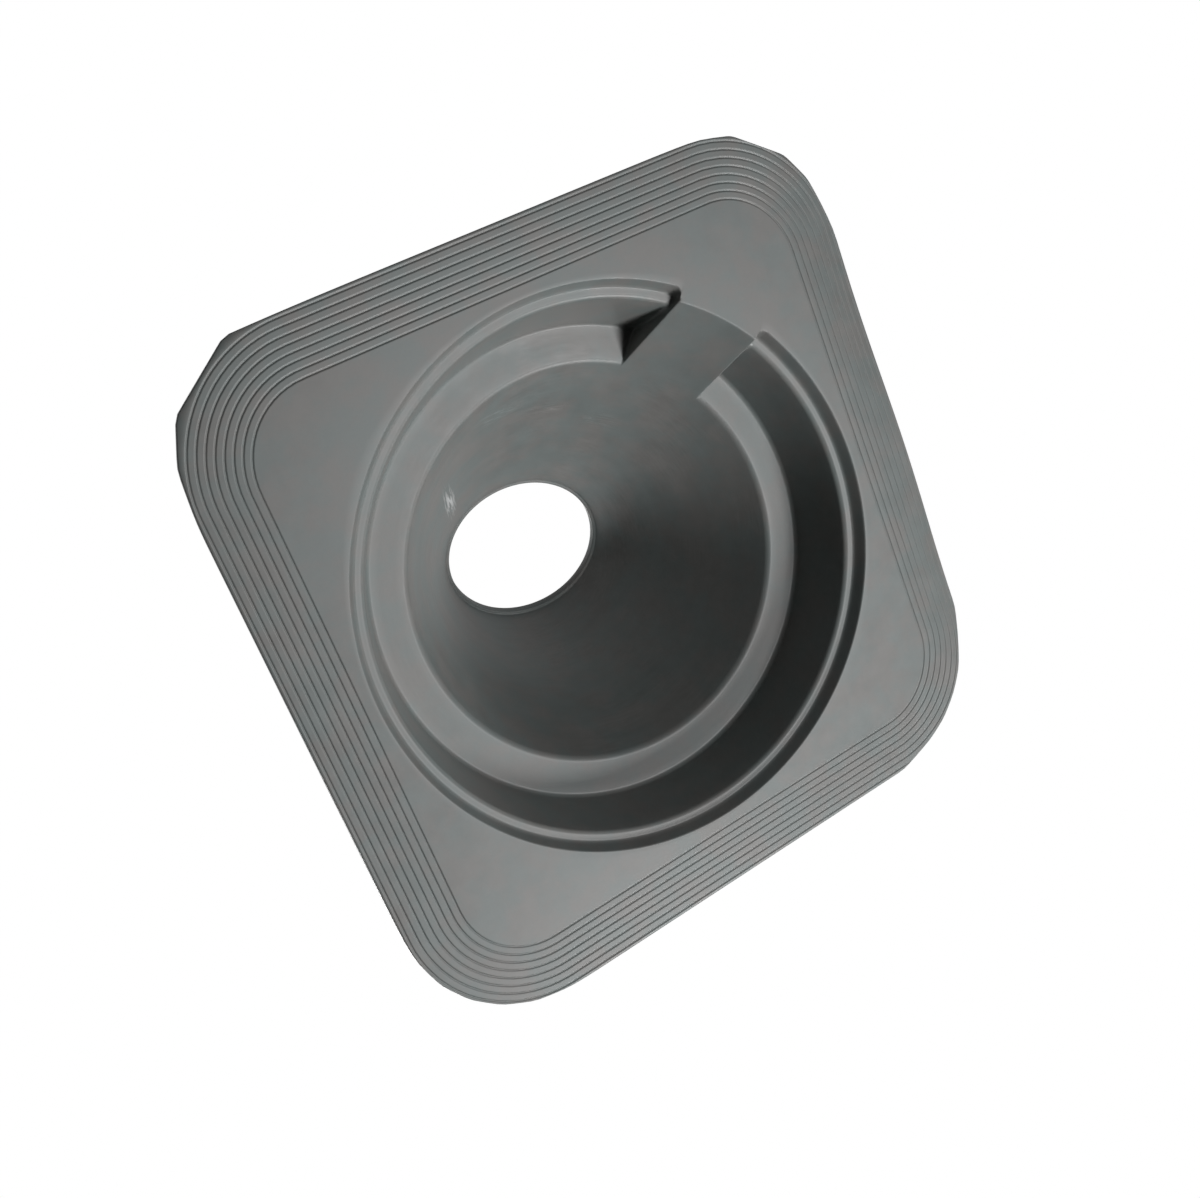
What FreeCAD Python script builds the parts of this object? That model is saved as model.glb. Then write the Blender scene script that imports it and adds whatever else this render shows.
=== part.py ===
import FreeCAD, Part
import math
import os
import Sketcher

# A pipe flashing boot, moulded in one piece of rubber. The flange lies on the
# roof with its underside in the plane z = 0 and the cone stands up along +Z.
# The sides of the flange run along X and Y. Looking up from below, the flange
# turns into a stepped round hollow, the hollow into the cone, and a smooth
# strip runs from the cone straight down to the flange, towards one corner.

vector = FreeCAD.Vector
Y_AXIS = vector(0, 1, 0)
Z_AXIS = vector(0, 0, 1)

# How near, in millimetres, an edge lies to where it is looked for, and at how
# many of its points that is measured.
CLOSE = 0.01
CIRCLE_POINTS = 5

# Driving sizes, in millimetres and degrees.
SIZES = {
    # the rubber
    "skin": 3.0,
    # the flange and its sealing grooves
    "ring_radius": 111.4,
    "flat_border": 5.2,
    "groove_pitch": 3.1,
    "groove_margin": 1.7,
    "groove_width": 1.0,
    "groove_depth": 0.6,
    "groove_corner": 30.1,
    "trim_reach": 53.3,
    "trim_reach_wide": 56.0,
    "trim_reach_short": 51.0,
    # the stepped ring, from the flange inwards and upwards
    "step_run": 2.7,
    "step_rise": 5.0,
    "land_width": 2.9,
    "wall_run": 9.8,
    "wall_rise": 26.0,
    "shoulder_width": 14.7,
    "land_round": 1.6,
    "corner_round": 3.5,
    "throat_flare": 2.5,
    # the smooth strip across the ring
    "strip_width": 37.6,
    "strip_heading": -45.0,
    # the foot of the cone, where its wall steepens beside the shoulder
    "knee_drop": 3.0,
    "knee_run": 2.0,
    "knee_shift": 1.6,
    "knee_heading": -20.0,
    # the pipe hole, tipped as the soft cone leans
    "rim_height": 111.5,
    "rim_radius": 34.9,
    "rim_depth": 3.5,
    "lip_width": 1.5,
    "rim_tilt": 27.0,
    "rim_heading": -63.0,
}

GROOVES = 8

# How each corner of the flange is trimmed by hand with straight cuts: how far
# the cuts meet from the corner's centre, and at which angles about it, from the
# side along X to the side along Y.
CORNER_TRIMS = {
    (1, -1): ("trim_reach", (10, 25, 40, 55, 70, 85)),
    (-1, -1): ("trim_reach_wide", (18, 36, 54, 72)),
    (-1, 1): ("trim_reach", (10, 25, 40, 55, 70, 85)),
    (1, 1): ("trim_reach_short", (16, 30, 43, 57, 70)),
}

# Sizes that follow from the driving ones.
FOLLOWING = {
    "groove_half": "ring_radius + flat_border",
    "comb_width": "groove_pitch * %d" % (GROOVES - 1),
    "half_side": "groove_half + comb_width + groove_margin",
    "corner_radius": "groove_corner + comb_width + groove_margin",
    "corner_centre": "groove_half - groove_corner",
    "land_outer": "ring_radius - step_run",
    "land_inner": "land_outer - land_width",
    "shoulder_outer": "land_inner - wall_run",
    "throat_radius": "shoulder_outer - shoulder_width",
    "shoulder_height": "step_rise + wall_rise",
    # how far sideways the outer face of a sloping wall stands off the inner
    "step_skin": "skin * sqrt(step_run * step_run + step_rise * step_rise) / step_rise",
    "wall_skin": "skin * sqrt(wall_run * wall_run + wall_rise * wall_rise) / wall_rise",
    # the ring's outer face
    "step_outer": "ring_radius + step_skin",
    "step_foot": "step_outer - skin * step_run / step_rise",
    "land_top": "step_rise + skin",
    "land_top_outer": "step_outer - land_top * step_run / step_rise",
    "wall_slope": "wall_run / wall_rise",
    "land_top_inner": "land_inner + wall_skin - skin * wall_slope",
    "shoulder_top": "shoulder_height + skin",
    "shoulder_top_outer": "shoulder_outer + wall_skin - skin * wall_slope",
    # the cone's knee and the strip's foot
    "knee_height": "shoulder_height - knee_drop",
    "knee_radius": "throat_radius + knee_run",
    # the flare that eases the shoulder into the cone, about the knee's centre
    "wall_lean": "atan2(knee_radius - rim_radius; rim_height - knee_height)",
    "flare_foot": "throat_radius + throat_flare",
    "flare_rise": "(throat_flare + skin) * cos(wall_lean)",
    "flare_slope": "(1 + sin(wall_lean)) / cos(wall_lean)",
    "flare_top": "flare_foot - flare_rise * flare_slope",
    "strip_run": "land_inner - knee_radius",
    "strip_skin": "skin * sqrt(strip_run * strip_run + knee_height * knee_height) / knee_height",
    "foot_outer": "land_inner + strip_skin",
    "knee_outer": "knee_radius + strip_skin",
    "cone_end": "rim_radius + lip_width",
    "cone_end_outer": "cone_end + skin",
    # the strip's slots: the inner one bounds the hollow, the outer one the form
    "strip_half": "strip_width / 2",
    "slot_half": "strip_half - skin",
    "slot_length": "half_side * 2",
    "slot_height": "shoulder_top * 2",
}

doc = FreeCAD.newDocument("pipe_flashing_boot")


def make_sheet():
    """Put the driving sizes and the ones that follow from them in a spreadsheet."""
    sheet = doc.addObject("Spreadsheet::Sheet", "Sizes")
    rows = [(name, str(size)) for name, size in SIZES.items()]
    rows += [(name, "=" + formula) for name, formula in FOLLOWING.items()]
    for row, (name, content) in enumerate(rows, start=1):
        sheet.set("A%d" % row, name)
        sheet.set("B%d" % row, content)
        sheet.setAlias("B%d" % row, name)
    doc.recompute()
    return sheet


sheet = make_sheet()


def size(name):
    """The value of a named size."""
    return float(sheet.get(name))


def bind(thing, prop, name, sign=""):
    """Tie a property to a named size."""
    thing.setExpression(prop, "%sSizes.%s" % (sign, name))


def origin_plane(body, role):
    return next(plane for plane in body.Origin.OriginFeatures if plane.Role == role)


def make_body(name):
    body = doc.addObject("PartDesign::Body", name)
    body.Label = name
    return body


def make_sketch(body, name, support):
    sketch = body.newObject("Sketcher::SketchObject", name)
    sketch.AttachmentSupport = [(support, "")]
    sketch.MapMode = "FlatFace"
    return sketch


def tie(sketch, kind, geometry, point, text):
    """Hold one coordinate of a sketch point at an expression of named sizes."""
    index = sketch.addConstraint(Sketcher.Constraint(kind, -1, 1, geometry, point, 1.0))
    sketch.setExpression("Constraints[%d]" % index, text)


def draw_outline(sketch, corners):
    """A closed outline of straight sides; each corner is a pair of expressions, None for zero."""
    count = len(corners)
    ring = [vector(math.cos(math.tau * i / count), math.sin(math.tau * i / count), 0) for i in range(count)]
    for i in range(count):
        sketch.addGeometry(Part.LineSegment(ring[i], ring[(i + 1) % count]))
    for i, (across, along) in enumerate(corners):
        sketch.addConstraint(Sketcher.Constraint("Coincident", (i - 1) % count, 2, i, 1))
        for kind, axis, text in (("DistanceX", -2, across), ("DistanceY", -1, along)):
            if text is None:
                sketch.addConstraint(Sketcher.Constraint("PointOnObject", i, 1, axis))
            else:
                tie(sketch, kind, i, 1, text)


def draw_circle(sketch, name):
    """A circle about the sketch's origin with a named radius."""
    sketch.addGeometry(Part.Circle(vector(0, 0, 0), Z_AXIS, size(name)))
    sketch.addConstraint(Sketcher.Constraint("Coincident", 0, 3, -1, 1))
    index = sketch.addConstraint(Sketcher.Constraint("Radius", 0, size(name)))
    bind(sketch, "Constraints[%d]" % index, name)


def named(*names):
    """Corners for draw_outline from pairs of size names."""
    return [tuple(None if name is None else "Sizes." + name for name in pair) for pair in names]


def revolve(body, name, corners):
    """A solid of revolution about Z from an outline of radii and heights."""
    sketch = make_sketch(body, name + "_profile", origin_plane(body, "XZ_Plane"))
    draw_outline(sketch, corners)
    turn = body.newObject("PartDesign::Revolution", name)
    turn.Profile = sketch
    turn.ReferenceAxis = (sketch, ["V_Axis"])
    turn.Angle = 360
    doc.recompute()
    return turn


def circle_edges(shape, radius_name, height_name):
    """Names of the edges that run round the Z axis at a named radius and height."""
    radius = size(radius_name)
    height = size(height_name)
    found = []
    for number, edge in enumerate(shape.Edges, start=1):
        points = edge.discretize(CIRCLE_POINTS)
        off = [max(abs(math.hypot(point.x, point.y) - radius), abs(point.z - height)) for point in points]
        if max(off) < CLOSE:
            found.append("Edge%d" % number)
    return found


def round_edges(body, name, base, edges, radius_text):
    """A fillet whose radius is an expression of named sizes."""
    fillet = body.newObject("PartDesign::Fillet", name)
    fillet.Base = (base, edges)
    fillet.setExpression("Radius", radius_text)
    doc.recompute()
    return fillet


def make_flange():
    """The flat flange: straight sides and corners trimmed with straight cuts."""
    body = make_body("flange")
    sketch = make_sketch(body, "flange_outline", origin_plane(body, "XY_Plane"))
    corners = []
    for (side_x, side_y), (reach, angles) in CORNER_TRIMS.items():
        trims = [("corner_radius", 0)]
        trims += [(reach, angle) for angle in angles]
        trims += [("corner_radius", 90)]
        if side_x * side_y > 0:
            trims.reverse()
        for radius, angle in trims:
            across = "%d * (Sizes.corner_centre + Sizes.%s * cos(%d))" % (side_x, radius, angle)
            along = "%d * (Sizes.corner_centre + Sizes.%s * sin(%d))" % (side_y, radius, angle)
            corners.append((across, along))
    draw_outline(sketch, corners)
    pad = body.newObject("PartDesign::Pad", "flange_sheet")
    pad.Profile = sketch
    bind(pad, "Length", "skin")
    doc.recompute()
    return body


def make_ring_form():
    """The outer face of the stepped ring, as a full round solid."""
    body = make_body("ring_form")
    turn = revolve(body, "ring_turn", named(
        (None, None),
        ("step_foot", None),
        ("step_foot", "skin"),
        ("land_top_outer", "land_top"),
        ("land_top_inner", "land_top"),
        ("shoulder_top_outer", "shoulder_top"),
        (None, "shoulder_top"),
    ))
    edges = circle_edges(turn.Shape, "shoulder_top_outer", "shoulder_top")
    round_edges(body, "ring_top_round", turn, edges, "Sizes.corner_round + Sizes.skin")
    return body


def make_ring_hollow():
    """The hollow under the stepped ring, as a full round solid."""
    body = make_body("ring_hollow")
    turn = revolve(body, "hollow_turn", named(
        (None, None),
        ("ring_radius", None),
        ("land_outer", "step_rise"),
        ("land_inner", "step_rise"),
        ("shoulder_outer", "shoulder_height"),
        (None, "shoulder_height"),
    ))
    edges = circle_edges(turn.Shape, "shoulder_outer", "shoulder_height")
    top = round_edges(body, "hollow_top_round", turn, edges, "Sizes.corner_round")
    edges = circle_edges(top.Shape, "land_inner", "step_rise")
    round_edges(body, "hollow_land_round", top, edges, "Sizes.land_round")
    return body


def make_slot(name, half_name):
    """A slab that keeps the ring out of the smooth strip, from the axis outwards."""
    slot = doc.addObject("Part::Box", name)
    bind(slot, "Length", "slot_length")
    slot.setExpression("Width", "Sizes.%s * 2" % half_name)
    bind(slot, "Height", "slot_height")
    slot.setExpression("Placement.Base.x", "Sizes.%s * sin(Sizes.strip_heading)" % half_name)
    slot.setExpression("Placement.Base.y", "-Sizes.%s * cos(Sizes.strip_heading)" % half_name)
    slot.setExpression("Placement.Base.z", "-Sizes.shoulder_top / 2")
    slot.Placement.Rotation = FreeCAD.Rotation(Z_AXIS, size("strip_heading"))
    bind(slot, "Placement.Rotation.Angle", "strip_heading")
    return slot


def cut(name, base, tool):
    result = doc.addObject("Part::Cut", name)
    result.Base = base
    result.Tool = tool
    return result


def fuse(name, shapes):
    result = doc.addObject("Part::MultiFuse", name)
    result.Shapes = shapes
    return result


def turned(axis, name):
    """A placement that turns about an axis by a named angle."""
    return FreeCAD.Placement(vector(0, 0, 0), FreeCAD.Rotation(axis, size(name)))


def make_cone(name, foot, knee, end, end_depth):
    """A cone with straight rulings: foot circle, knee circle and the tipped circle at the rim."""
    body = make_body(name)
    heading = body.newObject("PartDesign::Plane", name + "_heading")
    heading.AttachmentSupport = [(origin_plane(body, "XY_Plane"), "")]
    heading.MapMode = "FlatFace"
    heading.AttachmentOffset = turned(Z_AXIS, "rim_heading")
    bind(heading, "AttachmentOffset.Rotation.Angle", "rim_heading")
    tipped = body.newObject("PartDesign::Plane", name + "_tipped")
    tipped.AttachmentSupport = [(heading, "")]
    tipped.MapMode = "FlatFace"
    tipped.AttachmentOffset = turned(Y_AXIS, "rim_tilt")
    bind(tipped, "AttachmentOffset.Rotation.Angle", "rim_tilt")
    bind(tipped, "AttachmentOffset.Base.z", "rim_height")
    doc.recompute()

    foot_sketch = make_sketch(body, name + "_foot", heading)
    draw_circle(foot_sketch, foot)
    knee_sketch = make_sketch(body, name + "_knee", heading)
    draw_circle(knee_sketch, knee)
    turn = "(Sizes.knee_heading - Sizes.rim_heading)"
    knee_sketch.setExpression("AttachmentOffset.Base.x", "Sizes.knee_shift * cos%s" % turn)
    knee_sketch.setExpression("AttachmentOffset.Base.y", "Sizes.knee_shift * sin%s" % turn)
    bind(knee_sketch, "AttachmentOffset.Base.z", "knee_height")
    end_sketch = make_sketch(body, name + "_end", tipped)
    draw_circle(end_sketch, end)
    if end_depth:
        bind(end_sketch, "AttachmentOffset.Base.z", end_depth)
    doc.recompute()

    loft = body.newObject("PartDesign::AdditiveLoft", name + "_loft")
    loft.Profile = foot_sketch
    loft.Sections = [knee_sketch, end_sketch]
    loft.Ruled = True
    doc.recompute()
    return body, tipped


def make_cone_hollow():
    """The space inside the cone, with the pipe hole through the lip at its end."""
    body, tipped = make_cone("cone_hollow", "land_inner", "knee_radius", "cone_end", None)
    sketch = make_sketch(body, "pipe_circle", tipped)
    draw_circle(sketch, "rim_radius")
    hole = body.newObject("PartDesign::Pad", "pipe_hole")
    hole.Profile = sketch
    hole.setExpression("Length", "Sizes.rim_depth + Sizes.skin")
    doc.recompute()
    return body


def make_throat_flare():
    """The eased edge where the shoulder turns into the cone."""
    flare = doc.addObject("Part::Cone", "throat_flare")
    bind(flare, "Radius1", "flare_foot")
    bind(flare, "Radius2", "flare_top")
    bind(flare, "Height", "flare_rise")
    flare.setExpression("Placement.Base.x", "Sizes.knee_shift * cos(Sizes.knee_heading)")
    flare.setExpression("Placement.Base.y", "Sizes.knee_shift * sin(Sizes.knee_heading)")
    bind(flare, "Placement.Base.z", "shoulder_height")
    return flare


def make_blank():
    """The boot before its grooves: outer form less hollow."""
    ring_form = cut("ring_form_open", make_ring_form(), make_slot("outer_slot", "slot_half"))
    cone_form, _ = make_cone("cone_form", "foot_outer", "knee_outer", "cone_end_outer", "rim_depth")
    ring_hollow = fuse("flared_hollow", [make_ring_hollow(), make_throat_flare()])
    ring_hollow_open = cut("ring_hollow_open", ring_hollow, make_slot("inner_slot", "strip_half"))
    outer = fuse("outer_form", [make_flange(), ring_form, cone_form])
    inner = fuse("inner_form", [ring_hollow_open, make_cone_hollow()])
    blank = cut("blank", outer, inner)
    doc.recompute()
    return blank


def draw_comb(body):
    """The grooves' common section, drawn where one side of the flange ends and its corner begins."""
    comb = make_sketch(body, "groove_comb", origin_plane(body, "XZ_Plane"))
    bind(comb, "AttachmentOffset.Base.z", "corner_centre", "-")
    right = "Sizes.groove_half + Sizes.comb_width + Sizes.groove_width"
    left = "Sizes.groove_half - Sizes.groove_width"
    below = "-Sizes.groove_depth"
    corners = [(right, None), (right, below), (left, below), (left, None)]
    for number in range(GROOVES):
        middle = "Sizes.groove_half + Sizes.groove_pitch * %d" % number
        corners.append((middle + " - Sizes.groove_width / 2", None))
        corners.append((middle, "Sizes.groove_depth"))
        corners.append((middle + " + Sizes.groove_width / 2", None))
    draw_outline(comb, corners)
    pivot = comb.addGeometry(Part.LineSegment(vector(1, 0, 0), vector(1, 1, 0)), True)
    comb.addConstraint(Sketcher.Constraint("Vertical", pivot))
    comb.addConstraint(Sketcher.Constraint("PointOnObject", pivot, 1, -1))
    tie(comb, "DistanceX", pivot, 1, "Sizes.corner_centre")
    tie(comb, "DistanceY", pivot, 2, "Sizes.skin")
    doc.recompute()
    return comb


def make_grooves(body):
    """Cut the concentric sealing grooves into the flange's underside: a side and a corner, four times."""
    comb = draw_comb(body)
    side = body.newObject("PartDesign::Pocket", "groove_sides")
    side.Profile = comb
    side.setExpression("Length", "Sizes.corner_centre * 2")
    side.Reversed = True
    doc.recompute()
    corner = body.newObject("PartDesign::Groove", "groove_corners")
    corner.Profile = comb
    corner.ReferenceAxis = (comb, ["Axis0"])
    corner.Angle = 90
    doc.recompute()
    round_trip = body.newObject("PartDesign::PolarPattern", "grooves")
    round_trip.Originals = [side, corner]
    round_trip.Axis = (next(axis for axis in body.Origin.OriginFeatures if axis.Role == "Z_Axis"), [""])
    round_trip.Angle = 360
    round_trip.Occurrences = 4
    body.Tip = round_trip
    doc.recompute()
    if round_trip.Shape.Volume >= body.BaseFeature.Shape.Volume:
        raise RuntimeError("the grooves cut nothing")


def make_boot():
    """The finished boot: the blank with its grooves."""
    blank = make_blank()
    body = make_body("boot")
    body.BaseFeature = blank
    doc.recompute()
    make_grooves(body)
    return body


def check_document():
    """Stop if any object failed or any solid is empty or broken."""
    for thing in doc.Objects:
        if "Invalid" in thing.State or "Error" in thing.State:
            raise RuntimeError("%s failed: %s" % (thing.Name, thing.State))


boot = make_boot()
check_document()
if boot.Shape.isNull() or not boot.Shape.isValid():
    raise RuntimeError("the boot's shape is not sound")
os.makedirs("parts", exist_ok=True)
boot.Shape.exportStep(os.path.join("parts", boot.Label + ".step"))
box = boot.Shape.BoundBox
print("boot: %d solid, %.1f cm3" % (len(boot.Shape.Solids), boot.Shape.Volume / 1000))
print("box: x %.2f to %.2f, y %.2f to %.2f, z %.2f to %.2f" % (
    box.XMin, box.XMax, box.YMin, box.YMax, box.ZMin, box.ZMax))
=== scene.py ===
import math

import bpy
import numpy as np
from mathutils import Matrix, Vector


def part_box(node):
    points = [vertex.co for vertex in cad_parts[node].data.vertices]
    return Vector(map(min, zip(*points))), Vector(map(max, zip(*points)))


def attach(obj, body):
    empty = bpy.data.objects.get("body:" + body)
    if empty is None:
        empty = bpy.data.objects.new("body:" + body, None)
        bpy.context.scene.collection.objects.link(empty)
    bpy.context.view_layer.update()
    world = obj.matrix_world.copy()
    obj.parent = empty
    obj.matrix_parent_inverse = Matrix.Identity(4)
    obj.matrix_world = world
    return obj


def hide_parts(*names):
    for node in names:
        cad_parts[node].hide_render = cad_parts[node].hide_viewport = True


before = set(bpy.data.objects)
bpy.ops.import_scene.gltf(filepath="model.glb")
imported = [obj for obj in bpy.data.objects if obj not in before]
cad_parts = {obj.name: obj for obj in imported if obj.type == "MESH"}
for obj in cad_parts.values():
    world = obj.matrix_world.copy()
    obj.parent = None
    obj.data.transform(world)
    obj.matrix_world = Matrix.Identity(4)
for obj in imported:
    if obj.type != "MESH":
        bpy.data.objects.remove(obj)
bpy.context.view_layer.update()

# A pipe flashing boot moulded in grey rubber, seen from below into its hollow.
# Lengths are in millimetres until a mesh, lamp or camera is made, and the
# boot's outer size comes from the frame's box.

MM = 0.001
NODE = "boot"
HALF_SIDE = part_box(NODE)[1].x / MM

# The rubber sheet and the sealing grooves under the flange.
SKIN = 3.0
EDGE_CHAMFER = 0.3
GROOVES = 8
GROOVE_PITCH = 3.1
GROOVE_MARGIN = 1.7
GROOVE_HALF = HALF_SIDE - GROOVE_MARGIN - GROOVE_PITCH * (GROOVES - 1)
GROOVE_CORNER = 30.1
GROOVE_REACH = 0.5
GROOVE_DEPTH = 0.42
CORNER_CENTRE = GROOVE_HALF - GROOVE_CORNER
CORNER_RADIUS = HALF_SIDE - CORNER_CENTRE

# How each corner is trimmed by hand: its sides along x and y, and where the
# cuts meet, as a distance from the corner's centre and an angle in degrees.
TRIMS = [
    (1, -1, [(52.7, 12), (53.6, 26), (54.0, 41), (53.9, 68), (53.5, 84)]),
    (-1, -1, [(54.7, 20), (56.3, 38), (56.0, 71)]),
    (-1, 1, [(53.3, 10), (53.3, 25), (53.3, 40), (53.3, 55), (53.3, 70), (53.3, 85)]),
    (1, 1, [(51.0, 16), (50.9, 30), (50.6, 43), (50.9, 57), (51.2, 70)]),
]

# How softly each cut runs into the next: a larger value rounds the corners more.
TRIM_SOFTNESS = 0.35

# The flange's +x side lies a little off the floor, in a slow wave along y.
LIFT_START = HALF_SIDE - 23
LIFT = 2.0
LIFT_WAVE = 0.8
LIFT_CREST = 75
LIFT_LENGTH = 130

# The stepped ring, from the flange inwards and upwards.
RING = 111.4
STEP_RUN = 2.7
STEP_RISE = 5.0
LAND_WIDTH = 3.9
WALL_RUN = 8.0
WALL_RISE = 26.0
SHOULDER_WIDTH = 15.5
LAND_OUTER = RING - STEP_RUN
LAND_INNER = LAND_OUTER - LAND_WIDTH
SHOULDER_OUTER = LAND_INNER - WALL_RUN
SHOULDER = STEP_RISE + WALL_RISE
THROAT = SHOULDER_OUTER - SHOULDER_WIDTH
STEP_SLOPE = STEP_RUN / STEP_RISE
WALL_SLOPE = WALL_RUN / WALL_RISE

# The smooth strip across the ring and the cone's knee.
STRIP_HEADING = math.radians(-45)
STRIP_HALF = 18.8
STRIP_FOOT = LAND_OUTER - 2.9
SLOT_HALF = STRIP_HALF - SKIN
KNEE_HEIGHT = SHOULDER - 3.0
KNEE = THROAT + 2.0
KNEE_SHIFT = 1.6
KNEE_HEADING = math.radians(-20)
STRIP_SLOPE = (STRIP_FOOT - KNEE) / KNEE_HEIGHT

# The pipe hole at the tipped end of the cone.
RIM_HEIGHT = 111.5
RIM_RADIUS = 34.9
RIM_DEPTH = 3.5
LIP = 1.5
RIM_TILT = math.radians(27)
RIM_HEADING = math.radians(-63)

# Roundings of the moulded edges, first under the boot and then on its outside.
MOUTH_ROUND = 1.0
LAND_ROUND = 2.5
SHOULDER_ROUND = 2.3
THROAT_ROUND = 3.5
KNEE_ROUND = 4.0
FOOT_ROUND = 0.8
WALL_ROUND = 0.8
STEP_ROUND = 1.6
LIP_ROUND = 0.6
BORE_ROUND = 0.5
OUTER_RIM_ROUND = 0.8
OUTER_CONE_ROUND = 1.2
OUTER_WALL_ROUND = 0.8
OUTER_STEP_ROUND = 1.2
OUTER_FOOT_ROUND = 0.8
OUTER_STRIP_ROUND = 1.0

# How round the ring's ends are in plan beside the strip, at the mouth, the land
# and the shoulder. The land's value brings its rows onto the strip's foot.
MOUTH_CORNER = 4.0
LAND_CORNER = LAND_OUTER - STRIP_FOOT
SHOULDER_CORNER = 0.8

# What a spoke has climbed of a side wall's height: arcs at its foot and top, and the run between.
ON_STRIP = 0, 0
ON_RING = 2, 1

# Rows next to the pipe hole, inside and outside, which the strip doesn't reach.
HOLLOW_RIM_ROWS = 16
OUTER_RIM_ROWS = 7

# How far outside the ring the flange's own rows begin, under the boot and over it.
FLAT_UNDER = 2
FLAT_OVER = 3


def axes(heading, tilt=0.0):
    """Three axes as columns: turned about Z by heading, then tipped about their own Y."""
    return np.array(Matrix.Rotation(heading, 3, "Z") @ Matrix.Rotation(tilt, 3, "Y"))


KNEE_CENTRE = np.array([
    KNEE_SHIFT * math.cos(KNEE_HEADING), KNEE_SHIFT * math.sin(KNEE_HEADING), KNEE_HEIGHT])
RIM_CENTRE = np.array([0, 0, RIM_HEIGHT])
LEVEL_AXES = axes(RIM_HEADING)
RIM_AXES = axes(RIM_HEADING, RIM_TILT)
RIM_NORMAL = RIM_AXES[:, 2]


def circle(centre, its_axes, radius, turns):
    """Points of a circle at the given angles about its own axes."""
    flat = np.stack([np.cos(turns), np.sin(turns), np.zeros_like(turns)], axis=-1)
    return centre + radius * flat @ its_axes.T


def from_strip(points):
    """Angles of points about the Z axis, measured from the strip's heading."""
    angles = np.arctan2(points[..., 1], points[..., 0]) - STRIP_HEADING
    return np.angle(np.exp(1j * angles))


def skin_across(slope):
    """How far sideways the outer face of a wall stands off the inner one."""
    return SKIN * math.hypot(1, slope)


class Spokes:
    """The lines that the boot's mesh follows from the flange's edge to the pipe hole and back.

    Away from the strip they are radial, and beside it they run along it. At the
    strip's side walls several of them climb the wall's rounded foot and top."""

    REFERENCE = THROAT
    BESIDE = 4
    EDGE = math.asin((STRIP_HALF + BESIDE) / REFERENCE)
    FADE = math.radians(16)
    ARC_STEPS = 5
    CREASE = 0.05
    AROUND = 144

    def __init__(self):
        """Each spoke is a turn and, for the inner and the outer wall, what it has climbed."""
        self.rows = []
        self.fill(0, SLOT_HALF - WALL_ROUND, 8, ON_STRIP, ON_STRIP)
        for offset, climb in self.wall():
            self.add(SLOT_HALF + offset, ON_STRIP, climb)
        self.fill(SLOT_HALF + WALL_ROUND, STRIP_HALF - WALL_ROUND, 1, ON_STRIP, ON_RING)
        for offset, climb in self.wall():
            self.add(STRIP_HALF + offset, climb, ON_RING)
        self.fill(STRIP_HALF + WALL_ROUND, STRIP_HALF + self.BESIDE, 6, ON_RING, ON_RING)
        for turn in np.linspace(self.EDGE, math.pi, self.AROUND)[1:]:
            self.rows.append((turn, *ON_RING, *ON_RING))
        half = np.array(self.rows, float)
        other = half[-2:0:-1] * np.array([-1, 1, 1, 1, 1])
        both = np.concatenate([other, half])
        self.turn = both[:, 0]
        self.inner = both[:, 1:3]
        self.outer = both[:, 3:5]

    def add(self, offset, inner, outer):
        self.rows.append((math.asin(offset / self.REFERENCE), *inner, *outer))

    def fill(self, start, end, steps, inner, outer):
        for offset in np.linspace(start, end, steps + 1):
            self.add(offset, inner, outer)

    def wall(self):
        """Sideways offsets from a wall and the climbs there: its rounded foot, then its rounded top."""
        bend = np.linspace(0, math.pi / 2, self.ARC_STEPS + 1)
        for angle in bend[1:]:
            yield WALL_ROUND * (math.sin(angle) - 1) - self.CREASE, (1 - math.cos(angle), 0)
        for angle in bend[:-1]:
            yield WALL_ROUND * (1 - math.cos(angle)) + self.CREASE, (1 + math.sin(angle), 1)

    def angle(self, radius):
        """Angle from the strip of each spoke at a distance from the axis."""
        near = np.clip(self.turn, -self.EDGE, self.EDGE)
        beyond = np.abs(self.turn) - np.abs(near)
        bend = np.arcsin(self.REFERENCE * np.sin(near) / radius) - near
        return self.turn + bend * np.exp(-beyond / self.FADE)

    def cornered(self, radius, corner):
        """A radius drawn in where the ring's end is round in plan, as far as each spoke needs."""
        beyond = self.REFERENCE * np.sin(np.minimum(np.abs(self.turn), self.EDGE)) - STRIP_HALF
        short = corner - np.clip(beyond, 0, corner)
        return radius - corner + np.sqrt(corner * corner - short * short)

    def place(self, radius, height):
        """A point on each spoke at a distance from the axis and a height."""
        angle = self.angle(radius) + STRIP_HEADING
        height = np.broadcast_to(height, angle.shape)
        return np.stack([radius * np.cos(angle), radius * np.sin(angle), height], axis=-1)


def unit(vectors):
    return vectors / np.linalg.norm(vectors, axis=-1, keepdims=True)


def rounded_path(stations):
    """Rows of points along a path with rounded corners, for all the spokes at once.

    A station is a corner's points, its rounding radius, the steps of its arc and
    the steps of the run that leads to it."""
    rows = [stations[0][0]]
    for index, (corner, radius, arc_steps, run_steps) in enumerate(stations[1:], start=1):
        start = rows[-1]
        if radius and index + 1 < len(stations):
            back = unit(stations[index - 1][0] - corner)
            ahead = unit(stations[index + 1][0] - corner)
            half = np.arccos(np.clip((back * ahead).sum(-1, keepdims=True), -1, 1)) / 2
            centre = corner + unit(back + ahead) * radius / np.sin(half)
            first = corner + back * radius / np.tan(half) - centre
            last = corner + ahead * radius / np.tan(half) - centre
            sweep = math.pi - 2 * half
            shares = np.linspace(0, 1, arc_steps + 1)
            arc = [centre + (np.sin((1 - k) * sweep) * first + np.sin(k * sweep) * last) / np.sin(sweep)
                   for k in shares]
        else:
            arc = [corner]
        for k in range(1, run_steps):
            rows.append(start + (arc[0] - start) * k / run_steps)
        rows.extend(arc)
    return np.stack(rows)


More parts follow.
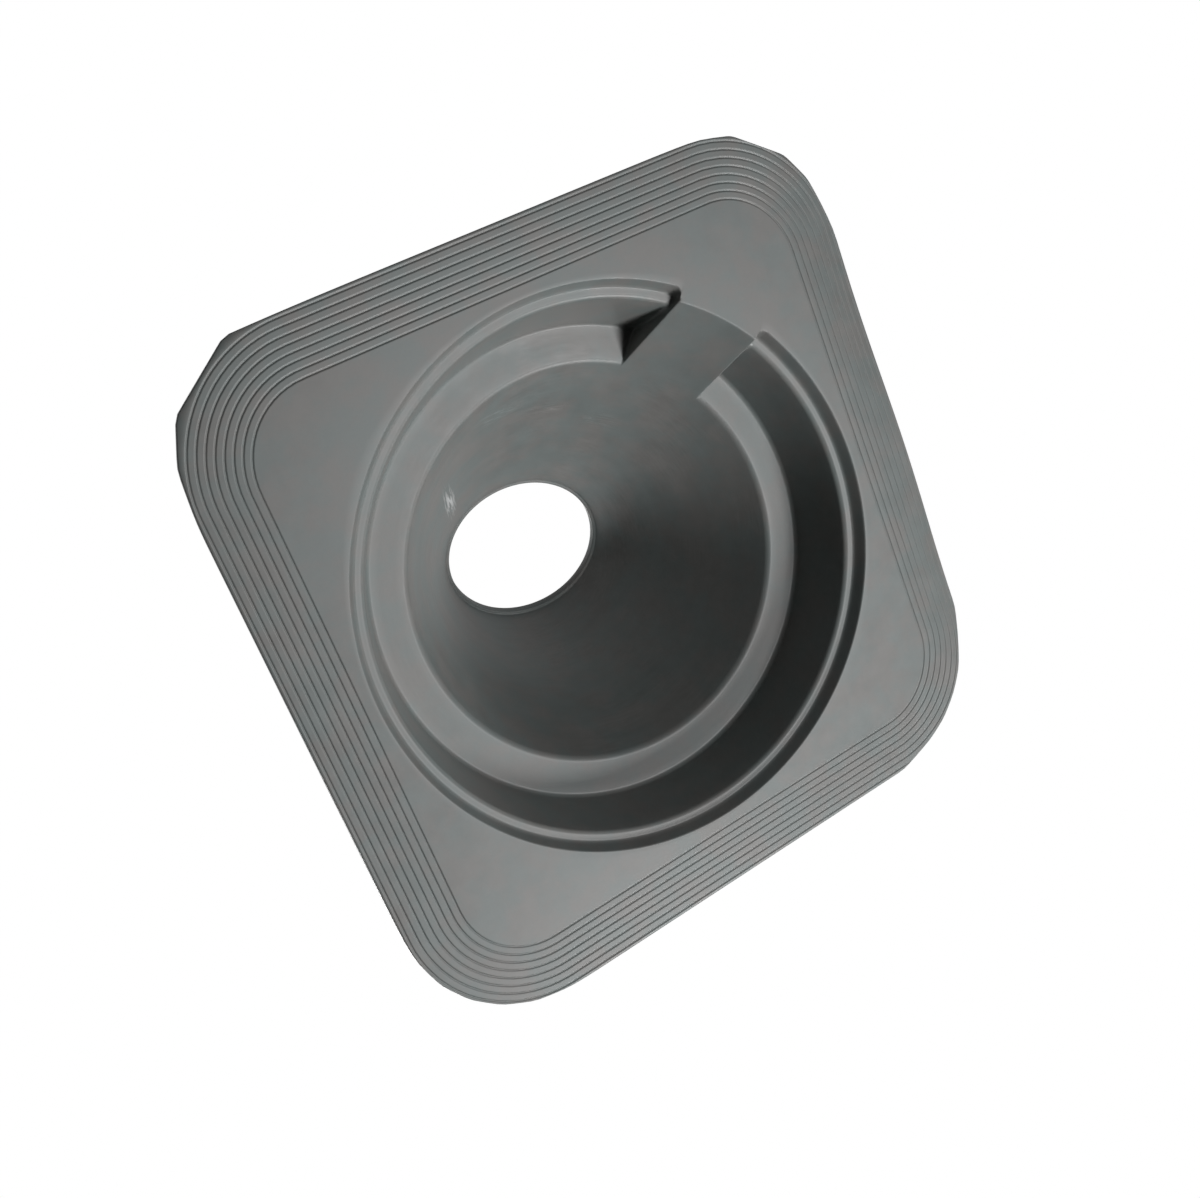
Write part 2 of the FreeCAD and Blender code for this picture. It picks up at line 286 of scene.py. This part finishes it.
def ruling(spokes, knee_radius, end_centre, end_radius, height):
    """The cone's knee, its end and where it meets a level, on the ruling that each spoke follows."""

    def along(angles):
        knee = circle(KNEE_CENTRE, LEVEL_AXES, knee_radius, angles)
        end = circle(end_centre, RIM_AXES, end_radius, angles)
        share = (height - knee[:, 2:]) / (end[:, 2:] - knee[:, 2:])
        return knee, end, knee + share * (end - knee)

    turns = np.linspace(-math.pi, math.pi, 721)
    seen = from_strip(along(turns)[2])
    order = np.argsort(seen)
    lead = np.angle(np.exp(1j * (turns - seen)))

    def lead_at(angles):
        return np.interp(angles, seen[order], lead[order], period=math.tau)

    aim = spokes.turn
    for _ in range(3):
        meeting = along(spokes.turn + lead_at(aim))[2]
        aim = spokes.angle(np.linalg.norm(meeting[:, :2], axis=-1))
    return along(aim + lead_at(aim))


def groove_distance(points):
    """How far points lie outside the innermost groove's line, a square with round corners."""
    x = np.abs(points[..., 0])
    y = np.abs(points[..., 1])
    round_part = np.hypot(x - CORNER_CENTRE, y - CORNER_CENTRE) - GROOVE_CORNER
    in_corner = (x > CORNER_CENTRE) & (y > CORNER_CENTRE)
    return np.where(in_corner, round_part, np.maximum(x, y) - GROOVE_HALF)


def outline_corners():
    """The flange's outline: straight sides and corners trimmed with straight cuts."""
    corners = []
    for side_x, side_y, trims in TRIMS:
        cuts = [(CORNER_RADIUS, 0), *trims, (CORNER_RADIUS, 90)]
        if side_x * side_y > 0:
            cuts.reverse()
        for radius, angle in cuts:
            turn = math.radians(angle)
            corners.append((side_x * (CORNER_CENTRE + radius * math.cos(turn)),
                            side_y * (CORNER_CENTRE + radius * math.sin(turn))))
    return np.array(corners)


def outline_distance(points):
    """How far points lie outside the flange's outline, negative inside it."""
    corners = outline_corners()
    sides = np.roll(corners, -1, axis=0) - corners
    turning = sides[0, 0] * sides[1, 1] - sides[0, 1] * sides[1, 0]
    normals = unit(np.stack([sides[:, 1], -sides[:, 0]], axis=-1)) * np.sign(turning)
    away = ((points[..., None, :2] - corners) * normals).sum(-1)
    farthest = away.max(-1)
    near = np.exp((away - farthest[..., None]) / TRIM_SOFTNESS)
    return farthest + TRIM_SOFTNESS * np.log(near.sum(-1))


def lift(points):
    """How far the flange's +x side is lifted."""
    share = np.clip((points[..., 0] - LIFT_START) / (HALF_SIDE - LIFT_START), 0, 1)
    wave = np.cos((points[..., 1] - LIFT_CREST) * math.tau / LIFT_LENGTH)
    return (LIFT + LIFT_WAVE * wave) * share ** 2


def reach(spokes, distance, targets):
    """Distances from the axis at which each spoke passes given values of a distance function."""
    step = 0.25
    beyond_corner = HALF_SIDE * 1.45
    radii = np.arange(RING, beyond_corner, step)
    samples = np.stack([distance(spokes.place(np.full(spokes.turn.shape, radius), 0)) for radius in radii])
    return np.stack([
        [np.interp(target, samples[:, spoke], radii) for spoke in range(len(spokes.turn))]
        for target in targets])


def flange_underside(spokes, mouth_radius):
    """Rows from the outline inwards over the grooves to the ring's mouth."""
    edge = reach(spokes, outline_distance, [-EDGE_CHAMFER])[0]
    shares = np.array([1.5, 1, 0.5, 0, -0.5, -1, -1.5])
    middles = [GROOVE_PITCH * number for number in reversed(range(GROOVES))]
    offsets = np.array([middle + share * GROOVE_REACH for middle in middles for share in shares])
    radii = reach(spokes, groove_distance, offsets)
    least_gap = 0.05
    clearance = least_gap * (1 + np.arange(len(offsets)))[:, None]
    radii = np.minimum(radii, edge - clearance)
    rows = []
    for radius in [edge, *radii]:
        points = spokes.place(radius, 0)
        nearest = np.abs(groove_distance(points)[:, None] - np.array(middles)).min(-1)
        share = np.clip(nearest / GROOVE_REACH, 0, 1)
        points[:, 2] = GROOVE_DEPTH * (1 - share)
        rows.append(points)
    last = radii[-1]
    for share in np.linspace(0, 1, 7)[1:-1]:
        rows.append(spokes.place(last + (mouth_radius - last) * share, 0))
    return np.stack(rows)


def climbed(ring_rows, strip_path, climb):
    """Lay the ring's rows down on the strip's surface where a spoke runs over the strip."""
    rows = ring_rows.copy()
    for spoke, (bend, rise) in enumerate(climb):
        if bend == ON_RING[0]:
            continue
        path = strip_path[:, spoke]
        away = np.linalg.norm(path[:, :2], axis=-1)
        order = np.argsort(away)
        radius = np.linalg.norm(ring_rows[:, spoke, :2], axis=-1)
        floor = np.interp(radius, away[order], path[order, 2])
        height = np.maximum(ring_rows[:, spoke, 2] - floor, 0)
        arc = np.minimum(WALL_ROUND, height / 2)
        rows[:, spoke, 2] = floor + bend * arc + rise * (height - 2 * arc)
    return rows


def hollow_rows(spokes, lip, knee, throat, bore_low, bore_high):
    """Rows of the underside and the hollow, from the outline's edge to the top of the pipe hole."""
    place = spokes.place
    full = np.ones(spokes.turn.shape)
    flange = flange_underside(spokes, RING + FLAT_UNDER)
    ring = rounded_path([
        (flange[-1], 0, 0, 0),
        (place(spokes.cornered(RING, MOUTH_CORNER), 0), MOUTH_ROUND, 5, 2),
        (place(spokes.cornered(LAND_OUTER, LAND_CORNER), STEP_RISE), STEP_ROUND, 5, 3),
        (place(spokes.cornered(LAND_INNER, LAND_CORNER), STEP_RISE), LAND_ROUND, 6, 1),
        (place(spokes.cornered(SHOULDER_OUTER, SHOULDER_CORNER), SHOULDER), SHOULDER_ROUND, 8, 6),
        (throat, THROAT_ROUND, 9, 4),
        (lip, LIP_ROUND, 3, 22),
        (bore_low, BORE_ROUND, 4, 2),
        (bore_high, BORE_ROUND, 4, 2),
    ])
    strip = rounded_path([
        (flange[-1], 0, 0, 0),
        (place(STRIP_FOOT * full, 0), FOOT_ROUND, 8, 2),
        (knee, KNEE_ROUND, 8, 12),
        (lip, 0, 0, 40),
    ])
    hollow_end = len(ring) - HOLLOW_RIM_ROWS
    ring[1:hollow_end] = climbed(ring[1:hollow_end], strip, spokes.inner)
    return np.concatenate([flange, ring[1:]])


def outside_rows(spokes, bore_high):
    """Rows of the outside, from the pipe hole down to the flange's top and round its edge."""
    place = spokes.place
    full = np.ones(spokes.turn.shape)
    knee, rim, foot = ruling(
        spokes, KNEE + skin_across(STRIP_SLOPE), RIM_CENTRE + RIM_DEPTH * RIM_NORMAL,
        RIM_RADIUS + LIP + SKIN, SHOULDER + SKIN)
    step_outer = RING + skin_across(STEP_SLOPE)
    land_top_outer = step_outer - (STEP_RISE + SKIN) * STEP_SLOPE
    land_top_inner = LAND_INNER + skin_across(WALL_SLOPE) - SKIN * WALL_SLOPE
    shoulder_top_outer = SHOULDER_OUTER + skin_across(WALL_SLOPE) - SKIN * WALL_SLOPE
    strip_foot = STRIP_FOOT + skin_across(STRIP_SLOPE) - SKIN * STRIP_SLOPE
    start = step_outer + FLAT_OVER
    outside = rounded_path([
        (bore_high, 0, 0, 0),
        (rim, OUTER_RIM_ROUND, 5, 2),
        (foot, OUTER_CONE_ROUND, 5, 18),
        (place(shoulder_top_outer * full, SHOULDER + SKIN), SHOULDER_ROUND + SKIN, 9, 3),
        (place(land_top_inner * full, STEP_RISE + SKIN), OUTER_WALL_ROUND, 4, 5),
        (place(land_top_outer * full, STEP_RISE + SKIN), OUTER_STEP_ROUND, 5, 1),
        (place((step_outer - SKIN * STEP_SLOPE) * full, SKIN), OUTER_FOOT_ROUND, 4, 2),
        (place(start * full, SKIN), 0, 0, 1),
    ])
    strip = rounded_path([
        (rim, 0, 0, 0),
        (knee, KNEE_ROUND, 8, 40),
        (place(strip_foot * full, SKIN), OUTER_STRIP_ROUND, 5, 12),
        (place(start * full, SKIN), 0, 0, 2),
    ])
    outside[OUTER_RIM_ROWS:] = climbed(outside[OUTER_RIM_ROWS:], strip, spokes.outer)
    top_edge = reach(spokes, outline_distance, [-EDGE_CHAMFER])[0]
    side_edge = reach(spokes, outline_distance, [0])[0]
    top = [place(start + (top_edge - start) * share, SKIN) for share in np.linspace(0, 1, 9)[1:]]
    side = [place(side_edge, SKIN - EDGE_CHAMFER), place(side_edge, EDGE_CHAMFER)]
    return np.concatenate([outside[1:], top, side])


def boot_rows(spokes):
    """The whole section of the boot as rows of points, one closed loop along each spoke."""
    knee, lip, throat = ruling(spokes, KNEE, RIM_CENTRE, RIM_RADIUS + LIP, SHOULDER)
    bore_angles = np.arctan2(*(((lip - RIM_CENTRE) @ RIM_AXES)[:, 1::-1].T))
    bore_low = circle(RIM_CENTRE, RIM_AXES, RIM_RADIUS, bore_angles)
    bore_high = bore_low + RIM_DEPTH * RIM_NORMAL
    rows = np.concatenate([
        hollow_rows(spokes, lip, knee, throat, bore_low, bore_high),
        outside_rows(spokes, bore_high)])
    rows[..., 2] += lift(rows)
    return rows


def boot_mesh():
    """The boot as one closed mesh of smooth quads."""
    rows = boot_rows(Spokes())
    row_count, spoke_count = rows.shape[:2]
    mesh = bpy.data.meshes.new("rubber_boot")
    number = np.arange(row_count * spoke_count).reshape(row_count, spoke_count)
    ahead = np.roll(number, -1, axis=0)
    faces = np.stack([number, ahead, np.roll(ahead, -1, axis=1), np.roll(number, -1, axis=1)], axis=-1)
    mesh.from_pydata((rows.reshape(-1, 3) * MM).tolist(), [], faces.reshape(-1, 4).tolist())
    mesh.validate()
    mesh.shade_smooth()
    boot = bpy.data.objects.new("rubber_boot", mesh)
    bpy.context.scene.collection.objects.link(boot)
    return boot


class Value:
    """What a shader works out at a point. Python sums on it add Math nodes."""

    def __init__(self, finish, socket):
        self.finish = finish
        self.socket = socket

    def maths(self, operation, *terms):
        return self.finish.node("ShaderNodeMath", {"operation": operation}, dict(enumerate(terms)))["Value"]

    def __add__(self, other):
        return self.maths("ADD", self, other)

    def __sub__(self, other):
        return self.maths("SUBTRACT", self, other)

    def __rsub__(self, other):
        return self.maths("SUBTRACT", other, self)

    def __mul__(self, other):
        return self.maths("MULTIPLY", self, other)

    def __truediv__(self, other):
        return self.maths("DIVIDE", self, other)

    def __rtruediv__(self, other):
        return self.maths("DIVIDE", other, self)

    def __pow__(self, other):
        return self.maths("POWER", self, other)

    def __rpow__(self, other):
        return self.maths("POWER", other, self)

    def __abs__(self):
        return self.maths("ABSOLUTE", self)

    __radd__ = __add__
    __rmul__ = __mul__

    def larger(self, other):
        return self.maths("MAXIMUM", self, other)

    def rise(self, start, end):
        """A share that goes smoothly from 0 at one value to 1 at the other."""
        return self.finish.node("ShaderNodeMapRange", {"interpolation_type": "SMOOTHSTEP"}, {
            "Value": self, "From Min": start, "From Max": end})["Result"]


class Finish:
    """The nodes of a material or the world, and the one way in which they are added."""

    def __init__(self, holder):
        holder.use_nodes = True
        self.tree = holder.node_tree
        self.tree.nodes.clear()

    def node(self, kind, settings, sockets):
        """Add a node: its settings first, then the value or link of each socket, by name or number.

        It gives back the node's outputs by name."""
        made = self.tree.nodes.new(kind)
        for name, setting in settings.items():
            setattr(made, name, setting)
        usable = [socket for socket in made.inputs if socket.enabled]
        by_name = {socket.name: socket for socket in usable}
        for name, value in sockets.items():
            socket = usable[name] if isinstance(name, int) else by_name[name]
            if isinstance(value, Value):
                self.tree.links.new(value.socket, socket)
            else:
                socket.default_value = value
        return {socket.name: Value(self, socket) for socket in made.outputs if socket.enabled}

    def vector(self, operation, output, *terms):
        return self.node("ShaderNodeVectorMath", {"operation": operation}, dict(enumerate(terms)))[output]

    def mix(self, share, first, second, blend="MIX"):
        """Two colours mixed by a share of the second."""
        return self.node("ShaderNodeMix", {"data_type": "RGBA", "blend_type": blend}, {
            "Factor": share, "A": first, "B": second})["Result"]

    def grey(self, level):
        channels = {"Red": level, "Green": level, "Blue": level}
        return self.node("ShaderNodeCombineColor", {}, channels)["Color"]

    def clouds(self, place, size, detail=2.0, roughness=0.5):
        """Cloudy variation about 0.5, in patches of about a size in millimetres."""
        return self.node("ShaderNodeTexNoise", {}, {
            "Vector": place, "Scale": 1 / (size * MM), "Detail": detail, "Roughness": roughness})["Fac"]


# The rubber's two tones and the dull light grey of a painted highlight streak.
COOL_GREY = (0.152, 0.171, 0.168, 1)
WARM_GREY = (0.171, 0.169, 0.163, 1)
HIGHLIGHT_GREY = (0.50, 0.51, 0.51, 1)

# Sizes of the rubber's tone patches, mottling, shallow waves and grain, of the
# hairlines and bands drawn round the cone, and of the places that have hairlines.
PATCH_SIZE = 17
MOTTLE_SIZE = 11
WAVE_SIZE = 6
GRAIN_SIZE = 0.9
HAIR_SIZE = 1.4
BAND_SIZE = 9
DRAWN_PLACES = 34
DRAWN_LENGTH = 12
CONE_START = 24, 36

# Painted highlight lines along the ring's land: how far beside the land's edges they lie, where they
# fade out to either side, and where they fade out above and below the land.
LAND_HIGHLIGHT_INNER = LAND_INNER + 0.2
LAND_HIGHLIGHT_OUTER = LAND_OUTER + 0.5
LAND_HIGHLIGHT_FADE = 0.7, 0.1
LAND_HIGHLIGHT_HEIGHTS = 2, 0.6

# Marks on the cone's inner wall, a painted highlight streak and rubbed smudges: middle, direction, half
# length and half width.
HIGHLIGHT_STREAK = (-33.6, -41.3, 76.0), (0.21, 0.49, 0.85), 26, 5
SMUDGES = [
    ((13.4, -63.7, 53.1), (0.95, 0.25, 0.15), 16, 5),
    ((-10.0, -70.0, 45.0), (0.95, -0.1, 0.25), 17, 7),
    ((37.2, -48.1, 58.8), (0.75, 0.60, -0.10), 14, 7),
]
STROKE_SIZE = 0.9
SQUEEZE = 0.94

ROUGHNESS = 0.42
SKIN_BUMP = 0.3
SKIN_BUMP_HEIGHT = 0.06


def smudge_and_highlight_patch(finish, place, middle, direction, length, width):
    """Fine strokes side by side in a long patch that fades at its edge."""
    along = Vector(direction).normalized()
    offset = finish.vector("SUBTRACT", "Vector", place, Vector(middle) * MM)
    run = finish.vector("DOT_PRODUCT", "Value", offset, along)
    whole = finish.vector("LENGTH", "Value", offset)
    across = abs(whole ** 2 - run ** 2) ** 0.5
    distance = ((run / (length * MM)) ** 2 + (across / (width * MM)) ** 2) ** 0.5
    back = finish.node("ShaderNodeCombineXYZ", {}, {
        axis: run * (-SQUEEZE * share) for axis, share in zip("XYZ", along)})["Vector"]
    strokes = finish.clouds(finish.vector("ADD", "Vector", offset, back), STROKE_SIZE, 3, 0.65)
    return distance.rise(1, 0.1) * strokes.rise(0.46, 0.62)


def painted_highlight_line(away, radius):
    """A thin soft painted highlight line round the axis at a distance from it."""
    return abs(away - radius * MM).rise(LAND_HIGHLIGHT_FADE[0] * MM, LAND_HIGHLIGHT_FADE[1] * MM)


def rubber():
    """Grey moulded rubber: clouds of tone, marks drawn round the cone, smudges, a painted highlight streak
    on the cone, painted highlight lines at the land's edges and a fine skin.
    """
    material = bpy.data.materials.new("moulded_rubber")
    finish = Finish(material)
    place = finish.node("ShaderNodeTexCoord", {}, {})["Object"]
    apart = finish.node("ShaderNodeSeparateXYZ", {}, {"Vector": place})
    x, y, z = apart["X"], apart["Y"], apart["Z"]

    # Distance from the axis, a hair over, because it is divided by.
    away = (x ** 2 + y ** 2) ** 0.5 + 0.001 * MM

    # Marks that are long round the axis and fine along the section.
    round_axis = finish.node("ShaderNodeCombineXYZ", {}, {
        "X": x / away * (DRAWN_LENGTH * MM), "Y": y / away * (DRAWN_LENGTH * MM), "Z": z - away})["Vector"]
    on_cone = z.rise(CONE_START[0] * MM, CONE_START[1] * MM)
    hairs = finish.clouds(round_axis, HAIR_SIZE, 3, 0.6) - 0.5
    drawn = hairs * on_cone * finish.clouds(place, DRAWN_PLACES, 1.5).rise(0.42, 0.62)
    bands = (finish.clouds(round_axis, BAND_SIZE) - 0.5) * on_cone

    patches = finish.clouds(place, PATCH_SIZE, 4, 0.62).rise(0.36, 0.64)
    mottle = finish.clouds(place, MOTTLE_SIZE, 4, 0.6) - 0.5
    grain = finish.clouds(place, GRAIN_SIZE) - 0.5
    waves = finish.clouds(place, WAVE_SIZE, 1) - 0.5
    # Painted highlights: lighter lines along the land's two edges, where light glints on the rounded edges.
    at_land = abs(z - STEP_RISE * MM).rise(LAND_HIGHLIGHT_HEIGHTS[0] * MM, LAND_HIGHLIGHT_HEIGHTS[1] * MM)
    land_highlights = at_land * (painted_highlight_line(away, LAND_HIGHLIGHT_INNER) + painted_highlight_line(away, LAND_HIGHLIGHT_OUTER))
    # Painted highlight: a streak of light grey strokes on the cone's inner wall beside the pipe hole, where
    # light glints.
    highlight_streak = smudge_and_highlight_patch(finish, place, *HIGHLIGHT_STREAK)
    smudges = sum(smudge_and_highlight_patch(finish, place, *smudge) for smudge in SMUDGES)

    # The painted highlight lines along the land's edges lighten the level here.
    level = 1 + mottle * 0.3 + bands * 0.16 + drawn * 0.35 + grain * 0.05 + smudges * 0.3 + land_highlights * 0.16
    tone = finish.mix(1.0, finish.mix(patches, COOL_GREY, WARM_GREY), finish.grey(level), "MULTIPLY")
    skin = finish.node("ShaderNodeBump", {}, {
        "Strength": SKIN_BUMP, "Distance": SKIN_BUMP_HEIGHT * MM,
        "Height": grain * 0.35 + drawn * 0.6 + waves * 0.8})["Normal"]
    # The base colour takes the light grey of the painted highlight streak.
    shader = finish.node("ShaderNodeBsdfPrincipled", {}, {
        "Base Color": finish.mix(highlight_streak, tone, HIGHLIGHT_GREY),
        "Roughness": ROUGHNESS + mottle * 0.16 + drawn * 0.3 - smudges * 0.15 - highlight_streak * 0.1 - land_highlights * 0.08,
        "Normal": skin})["BSDF"]
    finish.node("ShaderNodeOutputMaterial", {}, {"Surface": shader})
    return material


boot = boot_mesh()
boot.data.materials.append(rubber())
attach(boot, "root")
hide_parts(NODE)

# The pale floor lies just under the flange and fades out into the white
# backdrop. It shows from above only, so that the underside can be seen and lit.
FLOOR_GAP = 0.3
FLOOR_RADIUS = 1500
FLOOR_SIDES = 96
FLOOR_FADE = 400, 1300
FLOOR_WHITE = (0.86, 0.86, 0.85, 1)


def make_floor():
    turns = np.linspace(0, math.tau, FLOOR_SIDES, endpoint=False)
    edge = circle(np.array([0, 0, -FLOOR_GAP]), np.identity(3), FLOOR_RADIUS, turns) * MM
    mesh = bpy.data.meshes.new("floor")
    mesh.from_pydata(edge.tolist(), [], [list(range(FLOOR_SIDES))])
    floor = bpy.data.objects.new("floor", mesh)
    bpy.context.scene.collection.objects.link(floor)
    material = bpy.data.materials.new("pale_floor")
    finish = Finish(material)
    place = finish.node("ShaderNodeTexCoord", {}, {})["Object"]
    fade = finish.vector("LENGTH", "Value", place).rise(FLOOR_FADE[0] * MM, FLOOR_FADE[1] * MM)
    behind = finish.node("ShaderNodeNewGeometry", {}, {})["Backfacing"]
    matt = finish.node("ShaderNodeBsdfDiffuse", {}, {"Color": FLOOR_WHITE})["BSDF"]
    clear = finish.node("ShaderNodeBsdfTransparent", {}, {})["BSDF"]
    seen = finish.node("ShaderNodeMixShader", {}, {
        0: behind.larger(fade), 1: matt, 2: clear})["Shader"]
    finish.node("ShaderNodeOutputMaterial", {}, {"Surface": seen})
    floor.data.materials.append(material)
    floor.visible_diffuse = False
    floor.visible_glossy = False
    floor.visible_transmission = False
    floor.visible_shadow = False


# The world's light from above and from below, its change between them by the
# direction's height, and how much of the white the rubber mirrors from below.
SKY = 0.4
FILL_BELOW = 0.003
HORIZON = -0.1, 0.5
MIRRORED_WHITE = 0.08
MIRRORED_HEIGHTS = 0, -0.5


def make_backdrop():
    """A world that is plain white to look at, with soft light from above and almost none from below."""
    world = bpy.data.worlds.new("backdrop")
    bpy.context.scene.world = world
    finish = Finish(world)
    path = finish.node("ShaderNodeLightPath", {}, {})
    direction = finish.node("ShaderNodeTexCoord", {}, {})["Generated"]
    height = finish.node("ShaderNodeSeparateXYZ", {}, {"Vector": direction})["Z"]
    mirrored = path["Is Glossy Ray"] * height.rise(*MIRRORED_HEIGHTS) * MIRRORED_WHITE
    seen = path["Is Camera Ray"] + path["Is Transmission Ray"] + mirrored
    light = FILL_BELOW + (SKY - FILL_BELOW) * height.rise(*HORIZON)
    white = finish.node("ShaderNodeBackground", {}, {
        "Color": (1, 1, 1, 1), "Strength": seen.larger(light)})["Background"]
    finish.node("ShaderNodeOutputWorld", {}, {"Surface": white})


# Lamps: name, heading and height in degrees, diameter and power in watts. They
# stand at one distance: three soft ones below, where the hollow is seen, and one above.
LAMP_DISTANCE = 1300
LAMPS = [
    ("side_lamp_below", 76, -40, 450, 11.4),
    ("low_lamp_below", 48, -22, 450, 2.6),
    ("front_lamp_below", 26, -66, 400, 7.3),
    ("lamp_above", 129, 42, 700, 16),
]


def make_lamp(name, heading, height, diameter, power):
    lamp_data = bpy.data.lights.new(name, "AREA")
    lamp_data.shape = "DISK"
    lamp_data.size = diameter * MM
    lamp_data.energy = power
    lamp = bpy.data.objects.new(name, lamp_data)
    bpy.context.scene.collection.objects.link(lamp)
    turned = Matrix.Rotation(math.radians(heading), 4, "Z")
    tipped = Matrix.Rotation(math.radians(90 - height), 4, "Y")
    lamp.matrix_world = turned @ tipped @ Matrix.Translation((0, 0, LAMP_DISTANCE * MM))


# The camera looks up at the underside, as the photograph does.
CAMERA_PLACE = Vector((-194.8, -143.6, -466.5)) * MM
CAMERA_AIM = Vector((-16.3, 3.9, 0)) * MM
CAMERA_ROLL = math.radians(157.8)
CAMERA_LENS = 40.52


def make_camera():
    camera = bpy.data.objects.new("camera", bpy.data.cameras.new("camera"))
    bpy.context.scene.collection.objects.link(camera)
    back = (CAMERA_PLACE - CAMERA_AIM).normalized()
    right = Vector((0, 1, 0)).cross(back).normalized()
    level = Matrix((right, back.cross(right), back)).transposed().to_4x4()
    camera.matrix_world = Matrix.Translation(CAMERA_PLACE) @ level @ Matrix.Rotation(CAMERA_ROLL, 4, "Z")
    camera.data.lens = CAMERA_LENS
    bpy.context.scene.camera = camera


make_floor()
make_backdrop()
for lamp in LAMPS:
    make_lamp(*lamp)
make_camera()
bpy.context.scene.view_settings.view_transform = "Standard"
